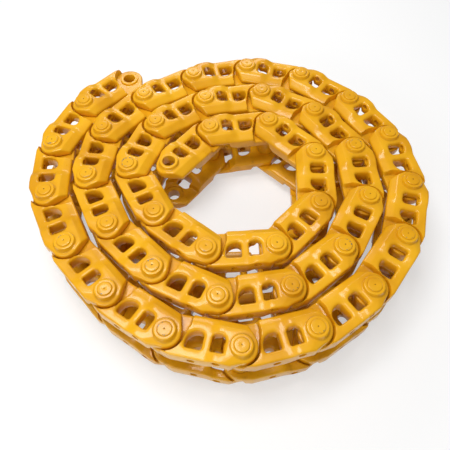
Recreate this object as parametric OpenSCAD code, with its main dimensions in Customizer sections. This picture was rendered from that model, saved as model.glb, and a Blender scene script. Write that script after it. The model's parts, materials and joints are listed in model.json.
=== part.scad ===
// Track chain of a crawler excavator, lying on its side in a coil, without its shoes.
// Each section is two mirrored offset links, a bushing pressed into one end and a pin into the other.
// The pin of one section turns in the bushing of the next. Lengths are in millimetres.
// A link's own frame: x runs from its bushing to its pin, y points to the rail, z along the pins.

/* [Chain] */
// Number of sections in the chain
sections = 39; // [20:1:45]
// Distance between two pin axes
pitch = 190; // [184:1:200]
// Sections at the outer end whose pieces are kept apart from each other
open_sections = 4; // [1:1:4]

/* [Coil] */
// Mean radius of the coil at its inner end
coil_inner_r = 188; // [184:1:230]
// Clear gap between two turns of the coil
coil_gap = 12; // [11:1:40]
// How far the coil is drawn out into an oval
coil_oval = 8; // [0:0.5:10]
// Direction of the oval, from the inner end
coil_oval_at = 11; // [0:1:180]
// How far the coil bulges at three corners
coil_three = 8; // [0:0.5:10]
// Direction of the first of the three corners
coil_three_at = 9; // [0:1:120]
// How far the coil bulges at four corners
coil_four = 9; // [0:0.5:10]
// Direction of the first of the four corners
coil_four_at = 0; // [0:1:90]

/* [Link outline] */
// Height of the rail's running face over the pin line
rail_h = 60; // [56:0.5:62]
// Depth of the shoe face under the pin line
shoe_h = 52; // [50:0.5:55]
// Radius of the link's end round the bushing
bush_end_r = 45; // [42:0.5:47]
// Radius of the link's end round the pin
pin_end_r = 40; // [38:0.5:44]
// How far the rail runs on past the pin axes
rail_over = 5; // [2:0.5:7]
// Angle over the pin line at which the rail's sloped ends meet the round ends
rail_end_a = 33; // [25:1:40]
// Distance from the pin axes to the ends of the shoe face
shoe_inset = 20; // [14:0.5:24]
// Angle under the pin line at which the shoe face's sloped ends meet the round ends
shoe_end_a = 80; // [70:1:86]

/* [Link offsets] */
// Half of the clear width between the two links, where the sprocket tooth runs
half_gap = 38; // [34:0.5:44]
// Thickness of the end plate that holds the bushing
bush_plate_t = 26; // [22:0.5:32]
// Thickness of the end plate that holds the pin
pin_plate_t = 28.5; // [24:0.5:34]
// Side clearance between the end plates of two sections
side_clear = 1.5; // [0.5:0.1:3]
// Thickness of the link's half on the bushing's side
near_t = 46; // [42:0.5:50]
// Thickness of the link's half on the pin's side
far_t = 42; // [38:0.5:48]
// Where the step from the near half to the far half starts, from the bushing axis
step_from = 108; // [102:0.5:112]
// Length of that step
step_len = 22; // [12:0.5:26]
// Room left round the neighbour's end plate, in the hollow that it turns in
relief_clear = 3.5; // [2:0.5:5]
// Bend of two sections up to which the rail's end stays clear of the hollow's wall
relief_bend = 56; // [54:1:60]
// Height over the pin line at which the rail's sloped flanks start
flank_y = 39; // [30:0.5:44]
// How far the inner flank leans in at the running face
flank_in = 6; // [2:0.5:10]
// How far the near half's outer flank leans in at the running face
flank_near = 8; // [7:0.5:10]
// How far the far half's outer flank leans in at the running face
flank_far = 16; // [14:0.5:17]

/* [Pin boss] */
// Height of the raised boss round the pin
boss_h = 9; // [5:0.5:14]
// Radius of the boss at its foot
boss_foot_r = 30; // [28.5:0.5:34]
// Radius of the boss at its top
boss_top_r = 27; // [25:0.5:28]
// Depth under the pin line at which the sloped facet below the boss starts
facet_y = 27; // [24:0.5:32]
// Fall of that facet, towards the link's lower corner
facet_a = 16; // [8:1:20]

/* [Pin, bushing and seal] */
// Diameter of the pin
pin_d = 38; // [34:0.5:40]
// How far the pin stands out of the boss
pin_proud = 3; // [1:0.5:6]
// Chamfer on the ends of the pin
pin_chamfer = 3; // [1:0.5:4]
// Outer diameter of the bushing
bushing_d = 60; // [56:0.5:62]
// How far the bushing stands out of its end plates
bushing_proud = 4; // [3:0.5:6]
// Chamfer on the ends of the bushing
bushing_chamfer = 1.5; // [0.5:0.5:3]
// Clearance all round between the pin and the bushing it turns in
run_clear = 0.4; // [0.3:0.05:0.8]
// Gap all round at a pressed seat
press_gap = 0.05; // [0.02:0.01:0.1]
// Thickness of the seal ring
seal_t = 2.2; // [1.5:0.1:3.5]
// Clearance on both faces and round the rim of the seal ring
seal_clear = 0.15; // [0.1:0.05:0.3]
// Diameter of the seat that takes the seal and the bushing's end
seal_seat_d = 64; // [63:0.5:66]

/* [Windows and shoe bolts] */
// Edge of the bushing-side window next to the bushing
near_window_from = 52; // [50:0.5:56]
// Width of the bushing-side window
near_window_w = 43; // [36:0.5:44]
// Width of the strut between the two windows
strut_w = 21; // [18:0.5:24]
// Width of the pin-side window
far_window_w = 34; // [32:0.5:36]
// Top of the windows over the pin line
window_top = 19; // [15:0.5:21]
// Nut seat at the foot of the windows, under the pin line
nut_seat = 25.5; // [24:0.5:28]
// Upper corner of the bushing-side window next to the bushing
near_round = 30; // [20:0.5:31]
// Upper corner of the pin-side window next to the pin
far_round = 14; // [8:0.5:18]
// Other upper corner of a window, on the side of the strut
strut_round = 10; // [6:0.5:12]
// Lower corners of a window, beside the nut seat
seat_round = 5; // [3:0.5:7]
// Distance from the bushing axis to the first shoe bolt
bolt_from = 75; // [73:0.5:77]
// Distance between the two shoe bolts of one link
bolt_pitch = 62; // [60:0.5:63]
// Spacing across the chain of the shoe bolts on the bushing's side
bolt_near_span = 124.4; // [120:0.2:128]
// Spacing across the chain of the shoe bolts on the pin's side
bolt_far_span = 160.4; // [156:0.2:162]
// Diameter of the shoe bolt holes
bolt_hole_d = 20; // [18:0.5:21]

/* [Hidden] */
paint = [0.88, 0.62, 0.11];
$fn = 64;
// how far cutters run past what they cut
spill = 5;

// heights over the chain's middle plane
bush_plate_out = half_gap + bush_plate_t;
pin_plate_in = bush_plate_out + side_clear;
pin_plate_out = pin_plate_in + pin_plate_t;
near_out = half_gap + near_t;
far_in = pin_plate_out - far_t;
boss_out = pin_plate_out + boss_h;
pin_half = boss_out + pin_proud;
bushing_half = bush_plate_out + bushing_proud;
seal_low = bushing_half + seal_clear;
seal_seat = seal_low + seal_t + seal_clear;

// the rail's end corner, seen from the pin axis
corner_r = norm([rail_over, rail_h]);
corner_a = atan2(rail_h, rail_over);

pin_bore_d = pin_d + 2 * press_gap;
bushing_bore_d = pin_d + 2 * run_clear;
bushing_seat_d = bushing_d + 2 * press_gap;

// The coil's pin line is a lobed spiral about its middle. The angle a is measured outward from the inner end.
turn_growth = rail_h + shoe_h + coil_gap;
function spiral_r(a) =
    coil_inner_r + turn_growth * a / 360
    + coil_oval * cos(2 * (a - coil_oval_at))
    + coil_three * cos(3 * (a - coil_three_at))
    + coil_four * cos(4 * (a - coil_four_at));
function spiral(a) = spiral_r(a) * [cos(a), -sin(a)];

// the turn from angle a to the point one pitch further along the spiral, by halving the range low to high
function one_pitch(a, low = 2, high = 120, halvings = 40) =
    let (mid = (low + high) / 2)
    halvings == 0 ? mid
    : norm(spiral(a + mid) - spiral(a)) < pitch ? one_pitch(a, mid, high, halvings - 1)
    : one_pitch(a, low, mid, halvings - 1);

// pin places on the spiral, from the inner end to the outer
spiral_pins = [for (i = 0, a = 0; i <= sections; i = i + 1, a = a + one_pitch(a)) spiral(a)];
function spiral_pin(k) = spiral_pins[sections - k];
function spiral_heading(k) =
    let (d = spiral_pin(k) - spiral_pin(k - 1))
    atan2(d.y, d.x);

// The chain is laid so that section 1 starts at the origin and runs along x.
function heading(k) = spiral_heading(k) - spiral_heading(1);
function pin_place(k) =
    let (d = spiral_pin(k) - spiral_pin(0), turn = -spiral_heading(1))
    [d.x * cos(turn) - d.y * sin(turn), d.x * sin(turn) + d.y * cos(turn)];

function section_name(k) = str("section_", k < 10 ? "0" : "", k);
function piece_name(k, piece) = str(section_name(k), "_", piece);

whole_pieces = ["upper_link", "lower_link", "bushing", "pin", "seals"];
// the inner end has open pin bores
last_pieces = ["upper_link", "lower_link", "bushing"];

module at_section(k) {
    translate(pin_place(k - 1)) rotate(heading(k)) children();
}

// a point on a round end, just inside its edge so that straight sides run into the round
function on_end(x, r, a) = [x + (r - 1) * cos(a), (r - 1) * sin(a)];

// side view of a link: two round ends, the rail above and the shoe face below
module link_outline() {
    circle(bush_end_r);
    translate([pitch, 0]) circle(pin_end_r);
    polygon([
        [-rail_over, rail_h],
        on_end(0, bush_end_r, 180 - rail_end_a),
        on_end(0, bush_end_r, 180 + shoe_end_a),
        [shoe_inset, -shoe_h],
        [pitch - shoe_inset, -shoe_h],
        on_end(pitch, pin_end_r, -shoe_end_a),
        on_end(pitch, pin_end_r, rail_end_a),
        [pitch + rail_over, rail_h]
    ]);
}

// plan view of a link: its near half lies further in than its far half
module link_plan() {
    past = bush_end_r + spill;
    step_to = step_from + step_len;
    polygon([
        [-past, half_gap],
        [step_from, half_gap],
        [step_to, far_in],
        [pitch + past, far_in],
        [pitch + past, pin_plate_out],
        [step_to, pin_plate_out],
        [step_from, near_out],
        [-past, near_out]
    ]);
}

// A sloped flank of the rail as what is cut away, between two values of x. It starts at height z over the middle
// plane and leans by lean at the running face, to the side that has the sign of lean.
module rail_flank(from, to, z, lean) {
    top = rail_h + spill;
    rise = (top - flank_y) / (rail_h - flank_y);
    off = z - sign(lean) * spill;
    translate([from, 0, 0]) rotate([90, 0, 90]) linear_extrude(to - from)
        polygon([[flank_y, z], [top, z + rise * lean], [top, off], [flank_y, off]]);
}

// what is cut away over the facet that falls from the boss and the shoe pad to the link's lower corner
module facet() {
    translate([pitch - facet_y / 2, -facet_y, pin_plate_out]) rotate([0, 0, -45]) rotate([0, facet_a, 0])
        translate([-pin_end_r / 2, -pitch / 2, 0]) cube([2 * pitch, pitch, boss_out]);
}

// Plan of the hollow for a neighbour's end plate of radius r, about the pin axis at x = 0. It is open to the
// rail and to the link's end, and its wall leans as the neighbour's rail end does at the full bend.
module hollow_plan(r) {
    wall_a = corner_a - relief_bend;
    foot_a = rail_end_a - relief_bend;
    wall = (corner_r + relief_clear) * [cos(wall_a), sin(wall_a)];
    past = corner_r + spill;
    circle(r + relief_clear);
    polygon([
        (r + relief_clear - 1) * [cos(foot_a), sin(foot_a)],
        wall,
        [wall.x, past],
        [-past, past],
        [-past, -past],
        [-side_clear, -past],
        [-side_clear, 0]
    ]);
}

// Window from x = 0 to w with its large corner at x = 0. Corners are arcs of a few short sides.
module window(w, large) {
    function arc(c, r, from) = [for (i = [0 : 4]) c + r * [cos(from + i * 22.5), sin(from + i * 22.5)]];
    polygon(concat(
        arc([w - strut_round, window_top - strut_round], strut_round, 0),
        arc([large, window_top - large], large, 90),
        arc([seat_round, seat_round - nut_seat], seat_round, 180),
        arc([w - seat_round, seat_round - nut_seat], seat_round, 270)
    ));
}

module windows() {
    far_window_to = near_window_from + near_window_w + strut_w + far_window_w;
    translate([near_window_from, 0]) window(near_window_w, near_round);
    translate([far_window_to, 0]) mirror([1, 0]) window(far_window_w, far_round);
}

module shoe_bolt_hole(x, span) {
    depth = shoe_h - nut_seat + 2 * spill;
    translate([x, -shoe_h - spill, span / 2]) rotate([-90, 0, 0]) cylinder(d = bolt_hole_d, h = depth);
}

// the link without its boss, hollows and holes
module link_body() {
    past = bush_end_r + spill;
    difference() {
        intersection() {
            linear_extrude(boss_out) link_outline();
            translate([0, pitch / 2, 0]) rotate([90, 0, 0]) linear_extrude(pitch) link_plan();
        }
        rail_flank(-past, pitch + past, half_gap, flank_in);
        rail_flank(-past, pitch + past, pin_plate_out, -flank_far);
        rail_flank(-past, step_from - side_clear, near_out, -flank_near);
        facet();
    }
}

module upper_link() {
    tall = boss_out + spill;
    root = pin_plate_t / 2;
    color(paint) difference() {
        union() {
            link_body();
            translate([pitch, 0, pin_plate_out - root]) cylinder(r = boss_foot_r, h = root);
            translate([pitch, 0, pin_plate_out]) cylinder(r1 = boss_foot_r, r2 = boss_top_r, h = boss_h);
        }
        // room for the neighbours' end plates
        translate([0, 0, bush_plate_out]) linear_extrude(tall - bush_plate_out) hollow_plan(pin_end_r);
        translate([pitch, 0, half_gap - spill]) linear_extrude(pin_plate_in - half_gap + spill)
            mirror([1, 0]) hollow_plan(bush_end_r);
        // seats of the bushing, the seal and the pin
        cylinder(d = bushing_seat_d, h = tall);
        translate([pitch, 0, 0]) cylinder(d = seal_seat_d, h = seal_seat);
        translate([pitch, 0, 0]) cylinder(d = pin_bore_d, h = tall);
        linear_extrude(tall) windows();
        shoe_bolt_hole(bolt_from, bolt_near_span);
        shoe_bolt_hole(bolt_from + bolt_pitch, bolt_far_span);
    }
}

module lower_link() {
    mirror([0, 0, 1]) upper_link();
}

// Round bar or tube about z with chamfered ends. A bar has a bore of 0.
module chamfered_round(d, bore, half, chamfer) {
    rotate_extrude() polygon([
        [bore / 2, -half],
        [d / 2 - chamfer, -half],
        [d / 2, chamfer - half],
        [d / 2, half - chamfer],
        [d / 2 - chamfer, half],
        [bore / 2, half]
    ]);
}

module bushing() {
    color(paint) chamfered_round(bushing_d, bushing_bore_d, bushing_half, bushing_chamfer);
}

module pin() {
    color(paint) translate([pitch, 0, 0]) chamfered_round(pin_d, 0, pin_half, pin_chamfer);
}

// rings between the next section's bushing and the seats in this section's links
module seals() {
    color(paint) for (side = [0, 1])
        mirror([0, 0, side]) translate([pitch, 0, seal_low]) difference() {
            cylinder(d = seal_seat_d - 2 * seal_clear, h = seal_t);
            translate([0, 0, -spill]) cylinder(d = bushing_bore_d, h = seal_t + 2 * spill);
        }
}

module section(k) {
    at_section(k) {
        upper_link();
        lower_link();
        bushing();
        pin();
        seals();
    }
}

for (k = [1 : open_sections]) {
    at_section(k) upper_link();
    at_section(k) lower_link();
    at_section(k) bushing();
    at_section(k) pin();
    at_section(k) seals();
}
for (k = [open_sections + 1 : sections - 1]) {
    section(k);
}
at_section(sections) upper_link();
at_section(sections) lower_link();
at_section(sections) bushing();
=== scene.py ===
import json
import math

import bpy
import numpy as np
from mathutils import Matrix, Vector
from mathutils.geometry import delaunay_2d_cdt


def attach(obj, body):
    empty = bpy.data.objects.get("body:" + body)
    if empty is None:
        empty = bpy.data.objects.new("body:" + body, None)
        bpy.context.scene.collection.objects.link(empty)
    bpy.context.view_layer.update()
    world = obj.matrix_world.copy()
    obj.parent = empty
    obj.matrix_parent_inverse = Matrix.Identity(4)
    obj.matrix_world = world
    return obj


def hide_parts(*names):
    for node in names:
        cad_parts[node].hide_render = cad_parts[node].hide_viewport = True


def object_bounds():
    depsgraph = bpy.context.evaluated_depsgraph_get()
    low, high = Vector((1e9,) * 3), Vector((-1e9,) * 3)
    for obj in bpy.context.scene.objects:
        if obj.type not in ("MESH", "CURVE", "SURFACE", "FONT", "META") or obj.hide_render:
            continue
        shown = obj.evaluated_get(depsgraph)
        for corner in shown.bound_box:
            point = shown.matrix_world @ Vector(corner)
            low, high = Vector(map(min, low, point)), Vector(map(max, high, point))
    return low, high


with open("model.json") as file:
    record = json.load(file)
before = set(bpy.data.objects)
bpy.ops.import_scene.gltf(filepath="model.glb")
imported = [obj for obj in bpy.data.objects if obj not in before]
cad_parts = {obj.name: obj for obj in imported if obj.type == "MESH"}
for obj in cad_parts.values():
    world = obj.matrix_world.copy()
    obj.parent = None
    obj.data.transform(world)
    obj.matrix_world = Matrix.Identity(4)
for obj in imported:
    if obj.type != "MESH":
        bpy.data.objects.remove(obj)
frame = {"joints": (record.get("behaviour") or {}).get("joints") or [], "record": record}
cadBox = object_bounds()
record = frame["record"]

# all lengths below are millimetres in a link's own frame: x to its pin, y to its rail, z along the pins
link = {
    "pitch": 190.0, "railHeight": 60.0, "shoeDepth": 52.0,
    "bushEndRadius": 45.0, "pinEndRadius": 40.0, "railOver": 5.0, "railEndAngle": 33.0,
    "shoeInset": 20.0, "shoeEndAngle": 80.0,
    "innerFace": 38.0, "nearOut": 84.0, "farIn": 52.0, "farOut": 94.0, "stepFrom": 108.0, "stepTo": 130.0,
    "bushPlateOut": 64.0, "pinPlateIn": 65.5, "hollowClear": 3.5, "hollowBend": 56.0, "hollowWall": (-1.6, 3.6),
    "flankStart": 39.0, "flankNear": 8.0, "flankFar": 16.0, "flankIn": 6.0,
    "bossHeight": 9.0, "bossTop": 26.2, "bossFoot": 30.6, "facetDepth": 27.0, "facetSlope": 0.287,
    "bushSeat": 30.05, "pinBore": 19.05, "sealSeatRadius": 32.0, "sealSeatTop": 70.5,
    "windowTop": 19.0, "nutSeat": 25.5, "nearRound": 30.0, "farRound": 14.0, "strutRound": 10.0, "seatRound": 5.0,
    "nearWindow": (52.0, 95.0), "farWindow": (116.0, 150.0),
    "boltHoles": ((75.0, 62.2), (137.0, 80.2)), "boltRadius": 10.0,
    "outlineEdge": 4.5, "windowEdge": 8.5, "holeEdge": 0.9,  # radii of the rounded rims
    "stepBlend": 4.0, "flankBlend": 1.5, "facetBlend": 0.8, "innerBlend": 2.0,  # rounds where two faces meet
    "hollowTurn": 2.0, "hollowBlend": 3.0, "hollowFoot": 0.4, "hollowBack": 1.5,
}
# spacing of the link's points, and how far they keep from rims and from each other
sheet = {
    "loopStep": 4.2, "windowStep": 3.4, "gridStep": 8.0, "outlineSoft": 4.0, "windowSoft": 1.5,
    "rimShares": (0.1, 0.3, 0.6, 1.0), "rimClear": 1.2, "lineClear": 0.8, "gridClear": 2.6, "gridToLine": 3.6,
    "leastArea": 0.02, "flankRun": (64, 222, 40), "facetRun": (4.5, 36, 12), "creaseLines": (-0.9, 0.0, 1.0),
    "bossInside": 22.5, "bossOutside": 34, "bossSegments": 60, "hollowLines": 7,
}
bushing = {"radius": 30.0, "bore": 19.4, "half": 68.0, "edge": 1.6, "segments": 56}
pin = {"radius": 19.0, "half": 106.0, "edge": 2.6, "dimple": 1.7, "dimpleDepth": 2.4, "segments": 48}
seal = {"radius": 31.85, "bore": 19.4, "low": 68.15, "high": 70.35, "segments": 40}


# even points on an arc, ends included
def arcPoints(cx, cy, r, fromDeg, toDeg, count=24):
    a = np.radians(np.linspace(fromDeg, toDeg, count))
    return np.stack([cx + r * np.cos(a), cy + r * np.sin(a)], 1)


# closed path resampled at even spacing, then softened by a running mean so that its corners turn round
def evenLoop(points, spacing, soften):
    closed = np.vstack([points, points[:1]])
    along = np.r_[0, np.cumsum(np.hypot(*np.diff(closed, axis=0).T))]
    fine = np.linspace(0, along[-1], int(along[-1] / 0.5), endpoint=False)
    path = np.stack([np.interp(fine, along, closed[:, i]) for i in (0, 1)], 1)
    width = max(1, int(soften / 0.5))
    kernel = np.hanning(2 * width + 1)
    kernel /= kernel.sum()
    wrapped = np.vstack([path[-width:], path, path[:width]])
    path = np.stack([np.convolve(wrapped[:, i], kernel, "valid") for i in (0, 1)], 1)
    keep = np.linspace(0, len(path), int(along[-1] / spacing), endpoint=False).astype(int)
    return path[keep]


# loop moved to its left by d: into the metal, as the outline runs anticlockwise and the holes clockwise
def inset(loop, d):
    t = np.roll(loop, -1, 0) - np.roll(loop, 1, 0)
    t /= np.hypot(t[:, 0], t[:, 1])[:, None]
    return loop + d * np.stack([-t[:, 1], t[:, 0]], 1)


# distance of every point from the nearest side of a closed loop
def loopDistance(points, loop):
    a, b = loop, np.roll(loop, -1, 0)
    ab = b - a
    t = ((points[:, None] - a) * ab).sum(2) / (ab * ab).sum(1)
    foot = a + np.clip(t, 0, 1)[..., None] * ab
    return np.sqrt(((points[:, None] - foot) ** 2).sum(2)).min(1)


# even-odd test of points against a closed loop
def insideLoop(points, loop):
    a, b = loop, np.roll(loop, -1, 0)
    x, y = points[:, :1], points[:, 1:]
    crosses = (a[:, 1] > y) != (b[:, 1] > y)
    with np.errstate(divide="ignore", invalid="ignore"):
        at = a[:, 0] + (y - a[:, 1]) / (b[:, 1] - a[:, 1]) * (b[:, 0] - a[:, 0])
    return (crosses & (x < at)).sum(1) % 2 == 1


# cubic ease from 0 to 1
def ease(v, low, high):
    t = np.clip((v - low) / (high - low), 0, 1)
    return t * t * (3 - 2 * t)


# the smaller of two heights, with a round of about k where they meet
def softMin(a, b, k):
    h = np.clip(0.5 + 0.5 * (b - a) / k, 0, 1)
    return b + (a - b) * h - k * h * (1 - h)


def softMax(a, b, k):
    return -softMin(-a, -b, k)


# side view of the link: round ends, straight rail, shoe face with sloped ends
def linkOutline():
    p, q = link["pitch"], link
    return evenLoop(np.vstack([
        [[q["shoeInset"], -q["shoeDepth"]], [p - q["shoeInset"], -q["shoeDepth"]]],
        arcPoints(p, 0, q["pinEndRadius"], -q["shoeEndAngle"], q["railEndAngle"]),
        [[p + q["railOver"], q["railHeight"]], [-q["railOver"], q["railHeight"]]],
        arcPoints(0, 0, q["bushEndRadius"], 180 - q["railEndAngle"], 180 + q["shoeEndAngle"]),
    ]), sheet["loopStep"], sheet["outlineSoft"])


# window with a flat nut seat, one large upper corner at the end plate and one smaller at the strut, run clockwise
def windowLoop(xEnd, xStrut, big):
    s = np.sign(xStrut - xEnd)
    q = link
    top, foot = q["windowTop"], -q["nutSeat"]
    small, seat = q["strutRound"], q["seatRound"]
    path = np.vstack([
        arcPoints(seat, foot + seat, seat, 270, 180, 8),
        arcPoints(big, top - big, big, 180, 90, 16),
        arcPoints(abs(xStrut - xEnd) - small, top - small, small, 90, 0, 10),
        arcPoints(abs(xStrut - xEnd) - seat, foot + seat, seat, 0, -90, 8),
    ])
    path = np.stack([xEnd + s * path[:, 0], path[:, 1]], 1)
    return evenLoop(path if s > 0 else path[::-1], sheet["windowStep"], sheet["windowSoft"])


def circleLoop(cx, r, count=44):
    a = np.linspace(0, -2 * np.pi, count, endpoint=False)
    return np.stack([cx + r * np.cos(a), r * np.sin(a)], 1)


# The hollow for a neighbour's end plate about the pin axis at x = 0: a round of radius r, and a wall that leans
# as the neighbour's rail end does at the full bend.
# Gives r, the wall's normal and reach, and the x at which it turns upright.
def hollowShape(endRadius):
    q = link
    r = endRadius + q["hollowClear"]
    cornerAngle = math.atan2(q["railHeight"], q["railOver"]) - math.radians(q["hollowBend"])
    footAngle = math.radians(q["railEndAngle"] - q["hollowBend"])
    corner = (math.hypot(q["railHeight"], q["railOver"]) + q["hollowClear"]) * np.array(
        [math.cos(cornerAngle), math.sin(cornerAngle)])
    foot = (r - 1) * np.array([math.cos(footAngle), math.sin(footAngle)])
    along = (corner - foot) / np.linalg.norm(corner - foot)
    normal = np.array([along[1], -along[0]])
    return r, normal, foot @ normal, corner[0]


# distance of points from the hollow's wall, positive in the metal
def hollowDistance(x, y, endRadius):
    r, normal, reach, upright = hollowShape(endRadius)
    q = link
    wall = softMax(normal[0] * x + normal[1] * y - reach, x - upright, q["hollowTurn"])
    wall = np.maximum(wall, -y - q["hollowFoot"] * r)
    return np.minimum(softMin(np.hypot(x, y) - r, wall, q["hollowBlend"]), x + q["hollowBack"])


# a line of points that follows the hollow's wall at a set distance from it
def hollowLine(endRadius, off):
    r, normal, reach, upright = hollowShape(endRadius)
    leave = math.atan2(normal[1], normal[0]) + math.acos((reach + off) / (r + off))
    arc = arcPoints(0, 0, r + off, -100, math.degrees(leave), 26)
    turnY = (reach + off - normal[0] * (upright + off)) / normal[1]
    top = link["railHeight"]
    lean = arc[-1] + np.linspace(0, 1, 13)[1:, None] * (np.array([upright + off, turnY]) - arc[-1])
    up = np.stack([np.full(6, upright + off), np.linspace(turnY, top, 7)[1:]], 1)
    return np.vstack([arc, lean, up])


# outer face of the link: near half, step, far half, leaning rail flank, sloped facet, hollow and raised boss
def outerHeight(xy):
    q = link
    x, y = xy.T
    step = ease(x, q["stepFrom"] - q["stepBlend"], q["stepTo"] + q["stepBlend"])
    plate = q["nearOut"] + (q["farOut"] - q["nearOut"]) * step
    lean = q["flankNear"] + (q["flankFar"] - q["flankNear"]) * step
    flank = plate - lean * (y - q["flankStart"]) / (q["railHeight"] - q["flankStart"])
    z = softMin(plate, flank, q["flankBlend"])
    fall = (x - q["pitch"] + q["facetDepth"] / 2 - y - q["facetDepth"]) / math.sqrt(2)
    z = softMin(z, q["farOut"] - q["facetSlope"] * fall, q["facetBlend"])
    deep = hollowDistance(x, y, q["pinEndRadius"])
    z = q["bushPlateOut"] + (z - q["bushPlateOut"]) * ease(deep, *q["hollowWall"])
    boss = 1 - ease(np.hypot(x - q["pitch"], y), q["bossTop"], q["bossFoot"])
    return z + (q["farOut"] + q["bossHeight"] - z) * boss


# inner face of the link, with the hollow for the neighbour at the pin end
def innerHeight(xy):
    q = link
    x, y = xy.T
    step = ease(x, q["stepFrom"] - q["stepBlend"], q["stepTo"] + q["stepBlend"])
    z = q["innerFace"] + (q["farIn"] - q["innerFace"]) * step
    flank = q["innerFace"] + q["flankIn"] * (y - q["flankStart"]) / (q["railHeight"] - q["flankStart"])
    z = softMax(z, flank, q["innerBlend"])
    deep = hollowDistance(q["pitch"] - x, y, q["bushEndRadius"])
    return q["pinPlateIn"] + (z - q["pinPlateIn"]) * ease(deep, *q["hollowWall"])


# One face of the link as a height over x and y, with every rim rounded down by its distance from the loop.
# Points lie on the loops, on insets of them, on lines where the height turns and on an even grid between.
def linkSheet(height, loops, lines, up):
    points = [loop for loop, edge in loops]
    starts = np.cumsum([0] + [len(p) for p in points])
    sides = [(s + i, s + (i + 1) % len(p)) for s, p in zip(starts, points) for i in range(len(p))]
    rim = np.vstack(points)
    extra = []
    for i, (loop, edge) in enumerate(loops):
        for share in sheet["rimShares"]:
            p = inset(loop, edge * share)
            clear = np.min([loopDistance(p, other) for j, (other, _) in enumerate(loops) if j != i], 0)
            extra.append(p[clear > sheet["rimClear"]])
    linePoints = np.vstack([line for line, closed in lines])
    (x0, y0), (x1, y1) = rim.min(0), rim.max(0)
    step = sheet["gridStep"]
    gx, gy = np.meshgrid(np.arange(x0, x1, step), np.arange(y0, y1, step))
    gridPoints = np.stack([gx.ravel() + step / 2 * (np.arange(gx.size) // gx.shape[1] % 2), gy.ravel()], 1)

    def within(p, margin):
        ok = insideLoop(p, loops[0][0])
        for i, (loop, edge) in enumerate(loops):
            ok &= loopDistance(p, loop) > edge + margin
            if i:
                ok &= ~insideLoop(p, loop)
        return ok

    kept = within(linePoints, sheet["lineClear"])
    place = len(rim) + sum(map(len, extra)) + np.cumsum(kept) - 1
    first = 0
    for line, closed in lines:
        i = np.arange(first, first + len(line))
        j = np.roll(i, -1)
        for a, b in list(zip(i, j))[:None if closed else -1]:
            if kept[a] and kept[b]:
                sides.append((int(place[a]), int(place[b])))
        first += len(line)
    linePoints = linePoints[kept]
    gridPoints = gridPoints[within(gridPoints, sheet["gridClear"])]
    near = np.sqrt(((gridPoints[:, None] - linePoints) ** 2).sum(2)).min(1)
    flat = np.vstack([rim] + extra + [linePoints, gridPoints[near > sheet["gridToLine"]]])
    flatOut, _, tris, _, _, _ = delaunay_2d_cdt([Vector(p) for p in flat], sides, [], 0, 1e-5)
    flatOut = np.array([(v.x, v.y) for v in flatOut])
    tris = np.array(tris)
    middle = flatOut[tris].mean(1)
    keep = insideLoop(middle, loops[0][0])
    for loop, edge in loops[1:]:
        keep &= ~insideLoop(middle, loop)
    a, b, c = (flatOut[tris[:, i]] for i in range(3))
    twice = (b[:, 0] - a[:, 0]) * (c[:, 1] - a[:, 1]) - (b[:, 1] - a[:, 1]) * (c[:, 0] - a[:, 0])
    keep &= np.abs(twice) > sheet["leastArea"]  # no slivers along straight rims
    tris = np.where(((twice > 0) == up)[:, None], tris, tris[:, ::-1])[keep]
    drop = np.zeros(len(flatOut))
    for loop, edge in loops:
        d = np.clip(loopDistance(flatOut, loop), 0, edge)
        drop = np.maximum(drop, edge - np.sqrt(edge ** 2 - (edge - d) ** 2))
    z = height(flatOut) - (drop if up else -drop)
    rims = [np.arange(starts[i], starts[i + 1]) for i in range(len(points))]
    return np.column_stack([flatOut, z]), tris, rims


# triangles of the strip between two closed rows of points
def strip(rowA, rowB):
    a, b = np.asarray(rowA), np.asarray(rowB)
    a2, b2 = np.roll(a, -1), np.roll(b, -1)
    return np.vstack([np.column_stack([a, a2, b2]), np.column_stack([a, b2, b])])


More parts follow.
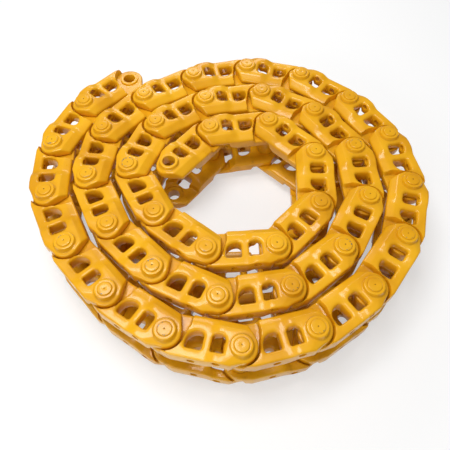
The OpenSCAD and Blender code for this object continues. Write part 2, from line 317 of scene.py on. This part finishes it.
# both faces of the link, joined along the rims by upright walls, with the stepped bore at the pin end
def linkSurface():
    q = link
    outline = linkOutline()
    windows = [windowLoop(*q["nearWindow"], q["nearRound"]), windowLoop(*q["farWindow"][::-1], q["farRound"])]
    seat = circleLoop(0, q["bushSeat"])
    bore, well = circleLoop(q["pitch"], q["pinBore"]), circleLoop(q["pitch"], q["sealSeatRadius"])
    shared = [(outline, q["outlineEdge"])] + [(w, q["windowEdge"]) for w in windows] + [(seat, q["holeEdge"])]
    offsets = np.linspace(q["hollowWall"][0] - 0.6, q["hollowWall"][1] + 0.8, sheet["hollowLines"])
    outerLines = [(hollowLine(q["pinEndRadius"], off), False) for off in offsets]
    innerLines = [(hollowLine(q["bushEndRadius"], off) * [-1, 1] + [q["pitch"], 0], False) for off in offsets]
    rings = (sheet["bossInside"], *np.linspace(q["bossTop"] - 0.5, q["bossFoot"] + 0.6, 6), sheet["bossOutside"])
    outerLines += [(arcPoints(q["pitch"], 0, r, 0, 360, sheet["bossSegments"] + 1)[:-1], True) for r in rings]
    # the bend into the rail flank, and the crease of the facet
    for off in sheet["creaseLines"]:
        bend = np.linspace(*sheet["flankRun"])
        outerLines.append((np.stack([bend, np.full(len(bend), q["flankStart"] + off)], 1), False))
        along = np.linspace(*sheet["facetRun"])[:, None] * [-1, -1] / math.sqrt(2)
        across = np.array([1, -1]) * off / math.sqrt(2)
        outerLines.append((along + across + [q["pitch"] - q["facetDepth"] / 2, -q["facetDepth"]], False))
    topV, topT, topRims = linkSheet(outerHeight, shared + [(bore, q["holeEdge"])], outerLines, True)
    lowV, lowT, lowRims = linkSheet(innerHeight, shared + [(well, q["holeEdge"])], innerLines, False)
    verts, tris = [topV, lowV], [topT, lowT + len(topV)]
    lowRims = [r + len(topV) for r in lowRims]
    for top, low in zip(topRims[:-1], lowRims[:-1]):
        tris.append(strip(low, top))
    base = len(topV) + len(lowV)
    ledge = [np.column_stack([loop, np.full(len(loop), q["sealSeatTop"])]) for loop in (well, bore)]
    rows = [lowRims[-1], base + np.arange(len(well)), base + len(well) + np.arange(len(bore)), topRims[-1]]
    for a, b in zip(rows[:-1], rows[1:]):
        tris.append(strip(a, b))
    return np.vstack(verts + ledge), np.vstack(tris)


# mesh object from arrays of points and triangles, in millimetres
def meshFrom(name, verts, tris, scale=0.001):
    mesh = bpy.data.meshes.new(name)
    mesh.vertices.add(len(verts))
    mesh.vertices.foreach_set("co", (np.asarray(verts) * scale).astype(np.float32).ravel())
    mesh.loops.add(3 * len(tris))
    mesh.loops.foreach_set("vertex_index", np.asarray(tris, np.int32).ravel())
    mesh.polygons.add(len(tris))
    mesh.polygons.foreach_set("loop_start", np.arange(0, 3 * len(tris), 3, dtype=np.int32))
    mesh.update(calc_edges=True)
    return mesh


# the link with its two shoe bolt holes cut through from the shoe face to the nut seats
def drilledLink():
    verts, tris = linkSurface()
    mesh = meshFrom("linkBlank", verts, tris)
    blank = bpy.data.objects.new("linkBlank", mesh)
    bpy.context.scene.collection.objects.link(blank)
    drills = []
    for x, z in link["boltHoles"]:
        a = np.linspace(0, 2 * np.pi, 28, endpoint=False)
        ring = np.stack([x + link["boltRadius"] * np.cos(a), 0 * a, z + link["boltRadius"] * np.sin(a)], 1)
        low, high = ring - [0, link["shoeDepth"] + 4, 0], ring - [0, link["nutSeat"] - 4, 0]
        ends = np.array([[x, low[0, 1], z], [x, high[0, 1], z]])
        n, i = len(a), np.arange(len(a))
        caps = [np.column_stack([np.full(n, 2 * n), i, (i + 1) % n]),
                np.column_stack([np.full(n, 2 * n + 1), n + (i + 1) % n, n + i])]
        drill = bpy.data.objects.new("drill", meshFrom(
            "drill", np.vstack([low, high, ends]), np.vstack([strip(n + i, i)] + caps)))
        bpy.context.scene.collection.objects.link(drill)
        cut = blank.modifiers.new("hole", "BOOLEAN")
        cut.operation, cut.solver, cut.object = "DIFFERENCE", "EXACT", drill
        drills.append(drill)
    done = blank.evaluated_get(bpy.context.evaluated_depsgraph_get()).to_mesh()
    done.calc_loop_triangles()
    outV = np.zeros(3 * len(done.vertices), np.float32)
    outT = np.zeros(3 * len(done.loop_triangles), np.int32)
    done.vertices.foreach_get("co", outV)
    done.loop_triangles.foreach_get("vertices", outT)
    for o in drills + [blank]:
        bpy.data.objects.remove(o)
    return outV.reshape(-1, 3).astype(float) * 1000, outT.reshape(-1, 3)


# surface of revolution about a pin axis: profile of (radius, height) rows, closed on itself or ended at the axis
def turned(profile, segments, closed):
    r, h = np.array(profile, float).T
    a = np.linspace(0, 2 * np.pi, segments, endpoint=False)
    rows = np.arange(len(r))[:, None] * segments + np.arange(segments)
    verts = np.stack([r[:, None] * np.cos(a), r[:, None] * np.sin(a), np.repeat(h[:, None], segments, 1)], 2)
    pairs = [(i, i + 1) for i in range(len(r) - 1)] + ([(len(r) - 1, 0)] if closed else [])
    tris = [strip(rows[i], rows[j]) for i, j in pairs]
    verts = verts.reshape(-1, 3)
    if not closed:  # both ends run to a point on the axis
        for row, height, flip in ((rows[0], h[0], False), (rows[-1], h[-1], True)):
            fan = np.column_stack([np.full(segments, len(verts)), row, np.roll(row, -1)])
            tris.append(fan if flip else fan[:, ::-1])
            verts = np.vstack([verts, [[0, 0, height]]])
    return verts, np.vstack(tris)


# quarter round from a flat end to a side, as (radius, height) rows
def roundEdge(radius, height, edge, upward):
    a = np.radians(np.linspace(0, 90, 5))
    rows = np.stack([radius - edge + edge * np.sin(a), height - edge + edge * np.cos(a)], 1)
    return rows if upward else np.stack([rows[:, 0], -rows[:, 1]], 1)[::-1]


def bushingSurface():
    q = bushing
    outer = [roundEdge(q["radius"], q["half"], q["edge"], upward) for upward in (False, True)]
    a = np.radians(np.linspace(90, 0, 5))
    mouth = np.stack([q["bore"] + q["edge"] * (1 - np.sin(a)), q["half"] - q["edge"] * (1 - np.cos(a))], 1)
    low = np.stack([mouth[:, 0], -mouth[:, 1]], 1)
    middle = np.stack([np.full(7, q["radius"]), np.linspace(-0.8, 0.8, 7) * q["half"]], 1)
    profile = np.vstack([outer[0], middle, outer[1][::-1], mouth[::-1], low])
    return turned(profile, q["segments"], True)


def pinSurface():
    q = pin
    dimple = [[0.25 * q["dimple"], q["half"] - q["dimpleDepth"]], [q["dimple"], q["half"] - 0.15],
              [1.5 * q["dimple"], q["half"]], [0.5 * q["radius"], q["half"]]]
    top = np.vstack([dimple, roundEdge(q["radius"], q["half"], q["edge"], True)])
    low = np.stack([top[:, 0], -top[:, 1]], 1)
    return turned(np.vstack([low, top[::-1]]), q["segments"], False)


def sealSurface():
    q = seal
    profile = [[q["bore"], q["low"]], [q["radius"], q["low"]], [q["radius"], q["high"]], [q["bore"], q["high"]]]
    return turned(profile, q["segments"], True)


# mirror image in the chain's middle plane, with its faces turned the right way again
def mirrored(surface):
    verts, tris = surface
    return verts * [1, 1, -1], tris[:, ::-1]


def moved(surface, x):
    return surface[0] + [x, 0, 0], surface[1]


# where the paint wears, and where dirt and painted shade darken it: widths in millimetres and shares of the full
# effect
wear = {
    "railBand": (3.5, 0.5), "railShare": 0.8, "rimDepth": 1.2, "rimSpread": 1.4, "rimFade": 2.0,
    "footSpread": 1.8, "wallFrom": 0.5, "wallSpread": 2.0, "footDirtAndShade": 0.36, "lipSpread": 1.0, "lipDirtAndShade": 0.18,
    "hiddenBelow": (16, 36), "hiddenShade": 0.12,
    "pinRimIn": 4.0, "pinRimSpread": 7.0, "pinEndFrom": (100, 103), "pinRimDirtAndShade": 0.06, "dotSize": 1.2,
    "bushDirtAndShade": 0.35, "bushHalf": 40,
}


# bell curve of the distance from a place
def bell(v, at, spread):
    return np.exp(-((v - at) / spread) ** 2)


# distance-based masks for the paint: worn rims, and corners and deep faces darkened by dirt and by painted shade
def linkMasks(verts):
    q, w = link, wear
    xy, z = verts[:, :2], np.abs(verts[:, 2])
    rail = ease(xy[:, 1], q["railHeight"] - w["railBand"][0], q["railHeight"] - w["railBand"][1])
    rimTop = bell(outerHeight(xy) - z, w["rimDepth"], w["rimSpread"])
    edge = np.exp(-loopDistance(xy, outlineLoop) / w["rimFade"]) * rimTop + w["railShare"] * rail
    fromPin = np.hypot(xy[:, 0] - q["pitch"], xy[:, 1])
    wall = hollowDistance(xy[:, 0], xy[:, 1], q["pinEndRadius"]) - q["hollowWall"][0]
    # dirt and painted shade in the corners at the foot of the boss and of the hollow's wall, and at the pin bore's
    # lip
    foot = bell(fromPin, q["bossFoot"], w["footSpread"]) + bell(wall, w["wallFrom"], w["wallSpread"])
    lip = bell(fromPin, q["pinBore"], w["lipSpread"])
    # painted shade: faces lying deeper below the far outer face, in the hollows and on the inner plates, are
    # darkened
    hidden = ease(q["farOut"] - z, *w["hiddenBelow"]) * w["hiddenShade"]
    return np.clip(edge, 0, 1), np.clip(w["footDirtAndShade"] * foot + w["lipDirtAndShade"] * lip + hidden, 0, 1)


outlineLoop = linkOutline()
upperLink = drilledLink()
linkEdge, linkDirtAndShade = linkMasks(upperLink[0])
print("link:", len(upperLink[1]), "triangles")


def kitPiece(surface, material, edge=None, dirt_and_shade=None):
    n = len(surface[0])
    return surface, np.zeros(n) if edge is None else edge, np.zeros(n) if dirt_and_shade is None else dirt_and_shade, material


bushingMesh, pinMesh, sealMesh = bushingSurface(), pinSurface(), sealSurface()
fromAxis = np.hypot(pinMesh[0][:, 0], pinMesh[0][:, 1])
# pinRim marks the pin end's rim for chips and for a faint dark ring of dirt and painted shade; pinDot is the centre
# dimple, painted fully dark as painted shade
pinRim = bell(fromAxis, pin["radius"] - wear["pinRimIn"], wear["pinRimSpread"])
pinEnd = ease(np.abs(pinMesh[0][:, 2]), *wear["pinEndFrom"])
pinDot = fromAxis < wear["dotSize"] * pin["dimple"]
# dirt and painted shade on the bushing's middle, between the link plates
bushDirtAndShade = wear["bushDirtAndShade"] * (np.abs(bushingMesh[0][:, 2]) < wear["bushHalf"])
sealPair = (np.vstack([sealMesh[0], mirrored(sealMesh)[0]]),
            np.vstack([sealMesh[1], mirrored(sealMesh)[1] + len(sealMesh[0])]))
kit = {
    "upper_link": kitPiece(upperLink, 0, linkEdge, linkDirtAndShade),
    "lower_link": kitPiece(mirrored(upperLink), 0, linkEdge, linkDirtAndShade),
    "bushing": kitPiece(bushingMesh, 0, None, bushDirtAndShade),
    "pin": kitPiece(moved(pinMesh, link["pitch"]), 1, pinRim * pinEnd, wear["pinRimDirtAndShade"] * pinRim + pinDot),
    "seals": kitPiece(moved(sealPair, link["pitch"]), 2),
}


# places of the pins along the chain, from the outer eye to the open bores of the inner end
hingePlaces = {j["name"]: j["pos_m"][:2] for j in frame["joints"]}
innerEnd = next(m["pos_m"][:2] for m in record["mounts"] if m["name"] == "inner_end_pin_bores")
pinPlaces = np.array([[0, 0]] + [hingePlaces[n] for n in sorted(hingePlaces)] + [innerEnd]) * 1000
runs = np.diff(pinPlaces, axis=0)
headings = np.arctan2(runs[:, 1], runs[:, 0])
sectionCount = len(runs)
print("chain:", sectionCount, "sections")


# the paint and wear that the chain's materials share
paint = {
    "colour": (0.800, 0.385, 0.006), "thin": (0.715, 0.322, 0.004), "sunlit": (0.860, 0.440, 0.009),
    # the dark brown laid on by the mask of dirt and painted shade in corners and deep faces
    "dirt_and_shade": (0.230, 0.092, 0.006), "toneAt": (0.34, 0.47, 0.68),
    "toneScale": 9.0, "patchScale": 34.0, "peelScale": 420.0, "forgeScale": 75.0,
    "patchRange": (0.42, 0.66, 0.35, 1.0), "peelShare": 0.16, "relief": 0.55,
    "roughness": 0.18, "roughSpread": 0.30, "dirtAndShadeDull": 0.12,
    "coat": 0.32, "coatRoughness": 0.10, "specular": 0.28,
}
chipped = {
    "steel": (0.235, 0.215, 0.195), "roughness": 0.5, "metal": 0.75, "depth": -0.5,
    "whereScale": 13.0, "raggedScale": 150.0, "cut": (0.315, 0.345, 0.0, 1.0),
}


# node of a tree at a place, with named sockets or settings given
def addNode(tree, kind, place, **values):
    n = tree.nodes.new(kind)
    n.location = place
    for key, value in values.items():
        if key in n.inputs:
            n.inputs[key].default_value = value
        else:
            setattr(n, key, value)
    return n


# range node that maps one span of values to another: from low, from high, to low, to high
def rangeNode(tree, place, span, **settings):
    n = addNode(tree, "ShaderNodeMapRange", place, **settings)
    for key, value in zip(("From Min", "From Max", "To Min", "To Max"), span):
        n.inputs[key].default_value = value
    return n


# group that mixes the paint's tones over the piece, darkens them by the mask of dirt and painted shade, and puts out
# colour, roughness and height
def paintGroup():
    g = bpy.data.node_groups.new("glossPaint", "ShaderNodeTree")
    face = g.interface
    face.new_socket("Place", in_out="INPUT", socket_type="NodeSocketVector")
    face.new_socket("DirtAndShade", in_out="INPUT", socket_type="NodeSocketFloat")
    for name in ("Colour", "Roughness", "Height"):
        kind = "NodeSocketColor" if name == "Colour" else "NodeSocketFloat"
        face.new_socket(name, in_out="OUTPUT", socket_type=kind)
    a, z = addNode(g, "NodeGroupInput", (-900, 0)), addNode(g, "NodeGroupOutput", (900, 0))
    join = g.links.new
    q = paint
    broad = addNode(g, "ShaderNodeTexNoise", (-600, 300), Scale=q["toneScale"], Detail=3.0, Roughness=0.5)
    patchy = addNode(g, "ShaderNodeTexNoise", (-600, 0), Scale=q["patchScale"], Detail=4.0, Roughness=0.6)
    peel = addNode(g, "ShaderNodeTexNoise", (-600, -300), Scale=q["peelScale"], Detail=2.0, Roughness=0.5)
    forged = addNode(g, "ShaderNodeTexNoise", (-600, -600), Scale=q["forgeScale"], Detail=3.0, Roughness=0.55)
    for n in (broad, patchy, peel, forged):
        join(a.outputs["Place"], n.inputs["Vector"])
    tone = addNode(g, "ShaderNodeValToRGB", (-350, 300))
    stops = tone.color_ramp.elements
    stops[0].position, stops[0].color = q["toneAt"][0], (*q["thin"], 1)
    stops[1].position, stops[1].color = q["toneAt"][2], (*q["sunlit"], 1)
    stops.new(q["toneAt"][1]).color = (*q["colour"], 1)
    join(broad.outputs["Fac"], tone.inputs["Fac"])
    patch = rangeNode(g, (-350, 0), q["patchRange"])
    join(patchy.outputs["Fac"], patch.inputs["Value"])
    soilAndShade = addNode(g, "ShaderNodeMath", (-120, 0), operation="MULTIPLY", use_clamp=True)
    join(patch.outputs["Result"], soilAndShade.inputs[0])
    join(a.outputs["DirtAndShade"], soilAndShade.inputs[1])
    # mixes in the dark brown where the mask says: dirt, and painted shade in corners and deep faces
    mix = addNode(g, "ShaderNodeMix", (150, 200), data_type="RGBA")
    join(soilAndShade.outputs[0], mix.inputs["Factor"])
    join(tone.outputs["Color"], mix.inputs[6])
    mix.inputs[7].default_value = (*q["dirt_and_shade"], 1)
    join(mix.outputs[2], z.inputs["Colour"])
    rough = addNode(g, "ShaderNodeMath", (150, -50), operation="MULTIPLY_ADD")
    rough.inputs[1].default_value, rough.inputs[2].default_value = q["roughSpread"], q["roughness"]
    join(patchy.outputs["Fac"], rough.inputs[0])
    dull = addNode(g, "ShaderNodeMath", (400, -50), operation="MULTIPLY_ADD", use_clamp=True)
    dull.inputs[1].default_value = q["dirtAndShadeDull"]
    join(soilAndShade.outputs[0], dull.inputs[0])
    join(rough.outputs[0], dull.inputs[2])
    join(dull.outputs[0], z.inputs["Roughness"])
    high = addNode(g, "ShaderNodeMath", (150, -400), operation="MULTIPLY_ADD")
    high.inputs[1].default_value = q["peelShare"]
    join(peel.outputs["Fac"], high.inputs[0])
    join(forged.outputs["Fac"], high.inputs[2])
    join(high.outputs[0], z.inputs["Height"])
    return g


# group that breaks a smooth rim mask into chips with ragged borders
def chipGroup():
    g = bpy.data.node_groups.new("paintChips", "ShaderNodeTree")
    face = g.interface
    face.new_socket("Place", in_out="INPUT", socket_type="NodeSocketVector")
    face.new_socket("Rim", in_out="INPUT", socket_type="NodeSocketFloat")
    face.new_socket("Amount", in_out="INPUT", socket_type="NodeSocketFloat")
    face.new_socket("Chips", in_out="OUTPUT", socket_type="NodeSocketFloat")
    a, z = addNode(g, "NodeGroupInput", (-900, 0)), addNode(g, "NodeGroupOutput", (700, 0))
    join = g.links.new
    where = addNode(g, "ShaderNodeTexNoise", (-600, 200), Scale=chipped["whereScale"], Detail=2.0, Roughness=0.5)
    ragged = addNode(g, "ShaderNodeTexNoise", (-600, -150), Scale=chipped["raggedScale"], Detail=5.0, Roughness=0.65)
    for n in (where, ragged):
        join(a.outputs["Place"], n.inputs["Vector"])
    both = addNode(g, "ShaderNodeMath", (-350, 100), operation="MULTIPLY")
    join(where.outputs["Fac"], both.inputs[0])
    join(ragged.outputs["Fac"], both.inputs[1])
    sized = addNode(g, "ShaderNodeMath", (-120, 100), operation="MULTIPLY")
    join(both.outputs[0], sized.inputs[0])
    join(a.outputs["Amount"], sized.inputs[1])
    masked = addNode(g, "ShaderNodeMath", (100, 50), operation="MULTIPLY")
    join(sized.outputs[0], masked.inputs[0])
    join(a.outputs["Rim"], masked.inputs[1])
    sharp = rangeNode(g, (350, 0), chipped["cut"], interpolation_type="SMOOTHSTEP")
    join(masked.outputs[0], sharp.inputs["Value"])
    join(sharp.outputs["Result"], z.inputs["Chips"])
    return g


paintNodes, chipNodes = paintGroup(), chipGroup()


# painted steel: the paint group, chips down to steel where the rim mask says, and a clear gloss over the paint
def paintedSteel(name, chipAmount, bump):
    m = bpy.data.materials.new(name)
    m.use_nodes = True
    t = m.node_tree
    t.nodes.clear()
    join = t.links.new
    out = addNode(t, "ShaderNodeOutputMaterial", (900, 0))
    shader = addNode(t, "ShaderNodeBsdfPrincipled", (600, 0))
    shader.inputs["Coat Roughness"].default_value = paint["coatRoughness"]
    shader.inputs["Specular IOR Level"].default_value = paint["specular"]
    join(shader.outputs[0], out.inputs["Surface"])
    place = addNode(t, "ShaderNodeTexCoord", (-900, 0))
    rim = addNode(t, "ShaderNodeAttribute", (-900, -250), attribute_name="rim")
    # per-point mask of dirt and painted shade
    dirt_and_shade = addNode(t, "ShaderNodeAttribute", (-900, -450), attribute_name="dirt_and_shade")
    coat = addNode(t, "ShaderNodeGroup", (-600, 100), node_tree=paintNodes)
    chips = addNode(t, "ShaderNodeGroup", (-600, -250), node_tree=chipNodes)
    chips.inputs["Amount"].default_value = chipAmount
    join(place.outputs["Object"], coat.inputs["Place"])
    join(place.outputs["Object"], chips.inputs["Place"])
    join(dirt_and_shade.outputs["Fac"], coat.inputs["DirtAndShade"])
    join(rim.outputs["Fac"], chips.inputs["Rim"])
    colour = addNode(t, "ShaderNodeMix", (-250, 200), data_type="RGBA")
    colour.inputs[7].default_value = (*chipped["steel"], 1)
    join(chips.outputs["Chips"], colour.inputs["Factor"])
    join(coat.outputs["Colour"], colour.inputs[6])
    join(colour.outputs[2], shader.inputs["Base Color"])
    rough = addNode(t, "ShaderNodeMix", (-250, 0))
    rough.inputs[3].default_value = chipped["roughness"]
    join(chips.outputs["Chips"], rough.inputs[0])
    join(coat.outputs["Roughness"], rough.inputs[2])
    join(rough.outputs[0], shader.inputs["Roughness"])
    metal = addNode(t, "ShaderNodeMath", (-250, -200), operation="MULTIPLY")
    metal.inputs[1].default_value = chipped["metal"]
    join(chips.outputs["Chips"], metal.inputs[0])
    join(metal.outputs[0], shader.inputs["Metallic"])
    gloss = addNode(t, "ShaderNodeMath", (-250, -400), operation="MULTIPLY_ADD")
    gloss.inputs[1].default_value, gloss.inputs[2].default_value = -paint["coat"], paint["coat"]
    join(chips.outputs["Chips"], gloss.inputs[0])
    join(gloss.outputs[0], shader.inputs["Coat Weight"])
    height = addNode(t, "ShaderNodeMath", (-250, -600), operation="MULTIPLY_ADD")
    height.inputs[1].default_value = chipped["depth"]
    join(chips.outputs["Chips"], height.inputs[0])
    join(coat.outputs["Height"], height.inputs[2])
    relief = addNode(t, "ShaderNodeBump", (250, -400), Strength=paint["relief"], Distance=bump)
    join(height.outputs[0], relief.inputs["Height"])
    join(relief.outputs[0], shader.inputs["Normal"])
    return m


# ground steel of the seal rings, brushed round by fine noise
def sealSteel():
    m = bpy.data.materials.new("sealSteel")
    m.use_nodes = True
    t = m.node_tree
    shader = t.nodes["Principled BSDF"]
    shader.inputs["Metallic"].default_value = 0.9
    place = addNode(t, "ShaderNodeTexCoord", (-700, 0))
    grain = addNode(t, "ShaderNodeTexNoise", (-500, 0), Scale=260.0, Detail=3.0)
    tone = addNode(t, "ShaderNodeValToRGB", (-250, 100))
    tone.color_ramp.elements[0].color = (0.16, 0.15, 0.14, 1)
    tone.color_ramp.elements[1].color = (0.34, 0.32, 0.30, 1)
    t.links.new(place.outputs["Object"], grain.inputs["Vector"])
    t.links.new(grain.outputs["Fac"], tone.inputs["Fac"])
    t.links.new(tone.outputs["Color"], shader.inputs["Base Color"])
    t.links.new(grain.outputs["Fac"], shader.inputs["Roughness"])
    return m


chainMaterials = [paintedSteel("linkPaint", 0.8, 0.0010), paintedSteel("pinPaint", 1.02, 0.0008), sealSteel()]
print("materials made")


# one piece made of several kit parts, turned and moved to its section's place
def sectionPiece(name, parts, k):
    c, s = math.cos(headings[k - 1]), math.sin(headings[k - 1])
    turn = np.array([[c, s, 0], [-s, c, 0], [0, 0, 1]])
    shift = np.array([*pinPlaces[k - 1], 0])
    verts, tris, rims, dirtAndShadeValues, numbers, count = [], [], [], [], [], 0
    for part in parts:
        (v, t), rim, dirt_and_shade, number = kit[part]
        verts.append(v @ turn + shift)
        tris.append(t + count)
        rims.append(rim)
        dirtAndShadeValues.append(dirt_and_shade)
        numbers.append(np.full(len(t), number, np.int32))
        count += len(v)
    mesh = meshFrom(name, np.vstack(verts), np.vstack(tris))
    numbers = np.concatenate(numbers)
    used = sorted(set(numbers.tolist()))
    for number in used:
        mesh.materials.append(chainMaterials[number])
    mesh.polygons.foreach_set("material_index", np.searchsorted(used, numbers).astype(np.int32))
    mesh.polygons.foreach_set("use_smooth", np.ones(len(numbers), bool))
    # per-point rim wear, and the mask of dirt and painted shade that the materials read
    for label, values in (("rim", rims), ("dirt_and_shade", dirtAndShadeValues)):
        layer = mesh.attributes.new(label, "FLOAT", "POINT")
        layer.data.foreach_set("value", np.concatenate(values).astype(np.float32))
    mesh.set_sharp_from_angle(angle=math.radians(42))
    piece = bpy.data.objects.new(name, mesh)
    bpy.context.scene.collection.objects.link(piece)
    return piece


for body, nodes in record["behaviour"]["bodies"].items():
    k = int(body[-2:])
    for node in nodes:
        part = node[len("section_00_"):]
        piece = sectionPiece("painted_" + node, [part] if part else list(kit), k)
        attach(piece, body)
        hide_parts(node)
print("sections placed")


# camera of the photograph: place in metres, heading of the view in plan, angle below the horizon
view = {"place": (0.7317, 1.1332, 1.1938), "heading": -137.24, "down": 58.05, "lens": 37.63, "sensor": 36.0}
h, e = math.radians(view["heading"]), math.radians(view["down"])
forward = Vector((math.cos(h) * math.cos(e), math.sin(h) * math.cos(e), -math.sin(e)))
camera = bpy.data.objects.new("camera", bpy.data.cameras.new("camera"))
camera.data.lens, camera.data.sensor_width = view["lens"], view["sensor"]
camera.location = view["place"]
camera.rotation_mode = "QUATERNION"
camera.rotation_quaternion = forward.to_track_quat("-Z", "Y")
camera.data.clip_start, camera.data.clip_end = 0.01, 100
bpy.context.scene.collection.objects.link(camera)
bpy.context.scene.camera = camera

# pale floor under the lower pin ends
ground = {"half": 40, "tone": 0.80, "glow": 1.4, "glowShare": 0.35}
corners = [(x * ground["half"], y * ground["half"], cadBox[0].z) for x, y in ((-1, -1), (1, -1), (1, 1), (-1, 1))]
floorMesh = bpy.data.meshes.new("floor")
floorMesh.from_pydata(corners, [], [(0, 1, 2, 3)])
floor = bpy.data.objects.new("floor", floorMesh)
bpy.context.scene.collection.objects.link(floor)


# white to the camera and in reflections, but still darkened by shadows
def paleFloor():
    m = bpy.data.materials.new("paleFloor")
    m.use_nodes = True
    t = m.node_tree
    t.nodes.clear()
    out = addNode(t, "ShaderNodeOutputMaterial", (600, 0))
    matt = addNode(t, "ShaderNodeBsdfDiffuse", (0, 100))
    matt.inputs["Color"].default_value = (ground["tone"],) * 3 + (1,)
    glow = addNode(t, "ShaderNodeEmission", (0, -100), Strength=ground["glow"])
    rays = addNode(t, "ShaderNodeLightPath", (-600, 0))
    first = addNode(t, "ShaderNodeMath", (-350, 0), operation="MAXIMUM")
    seen = addNode(t, "ShaderNodeMath", (-150, -50), operation="MAXIMUM")
    part = addNode(t, "ShaderNodeMath", (50, -250), operation="MULTIPLY")
    part.inputs[1].default_value = ground["glowShare"]
    mix = addNode(t, "ShaderNodeMixShader", (300, 0))
    t.links.new(rays.outputs["Is Camera Ray"], first.inputs[0])
    t.links.new(rays.outputs["Is Glossy Ray"], first.inputs[1])
    t.links.new(first.outputs[0], seen.inputs[0])
    t.links.new(rays.outputs["Is Transmission Ray"], seen.inputs[1])
    t.links.new(seen.outputs[0], part.inputs[0])
    t.links.new(part.outputs[0], mix.inputs[0])
    t.links.new(matt.outputs[0], mix.inputs[1])
    t.links.new(glow.outputs[0], mix.inputs[2])
    t.links.new(mix.outputs[0], out.inputs["Surface"])
    return m


floorMesh.materials.append(paleFloor())

# soft studio light: a large box above, a long one to the side and a pale world
studio = {"light": 0.37, "lessInReflections": 0.27, "moreToCamera": 0.38}
world = bpy.data.worlds.new("studio")
world.use_nodes = True
sky = world.node_tree.nodes["Background"]
sky.inputs["Color"].default_value = (1, 1, 1, 1)
# dimmer in reflections than as light, so that the paint keeps its colour between the lamps' highlights,
# and as pale as the far floor to the camera
rays = addNode(world.node_tree, "ShaderNodeLightPath", (-700, 0))
level = addNode(world.node_tree, "ShaderNodeMath", (-450, 0), operation="MULTIPLY_ADD")
level.inputs[1].default_value, level.inputs[2].default_value = -studio["lessInReflections"], studio["light"]
backdrop = addNode(world.node_tree, "ShaderNodeMath", (-200, 0), operation="MULTIPLY_ADD")
backdrop.inputs[1].default_value = studio["moreToCamera"]
world.node_tree.links.new(rays.outputs["Is Glossy Ray"], level.inputs[0])
world.node_tree.links.new(rays.outputs["Is Camera Ray"], backdrop.inputs[0])
world.node_tree.links.new(level.outputs[0], backdrop.inputs[2])
world.node_tree.links.new(backdrop.outputs[0], sky.inputs["Strength"])
bpy.context.scene.world = world
middle = (Vector(cadBox[0]) + Vector(cadBox[1])) / 2
lamps = {
    "overhead": {"from": (0.3, -0.5, 2.6), "size": (1.2, 1.2), "watts": 44},
    "window": {"from": (2.3, 0.6, 1.5), "size": (1.4, 0.7), "watts": 18},
    "edge": {"from": (-1.6, -1.8, 1.6), "size": (1.6, 0.4), "watts": 14},
}
for name, lamp in lamps.items():
    data = bpy.data.lights.new(name, "AREA")
    data.shape, data.energy = "RECTANGLE", lamp["watts"]
    data.size, data.size_y = lamp["size"]
    o = bpy.data.objects.new(name, data)
    o.location = middle + Vector(lamp["from"])
    o.rotation_mode = "QUATERNION"
    o.rotation_quaternion = (-Vector(lamp["from"])).to_track_quat("-Z", "Y")
    bpy.context.scene.collection.objects.link(o)
bpy.context.scene.view_settings.view_transform = "Standard"
print("studio made")
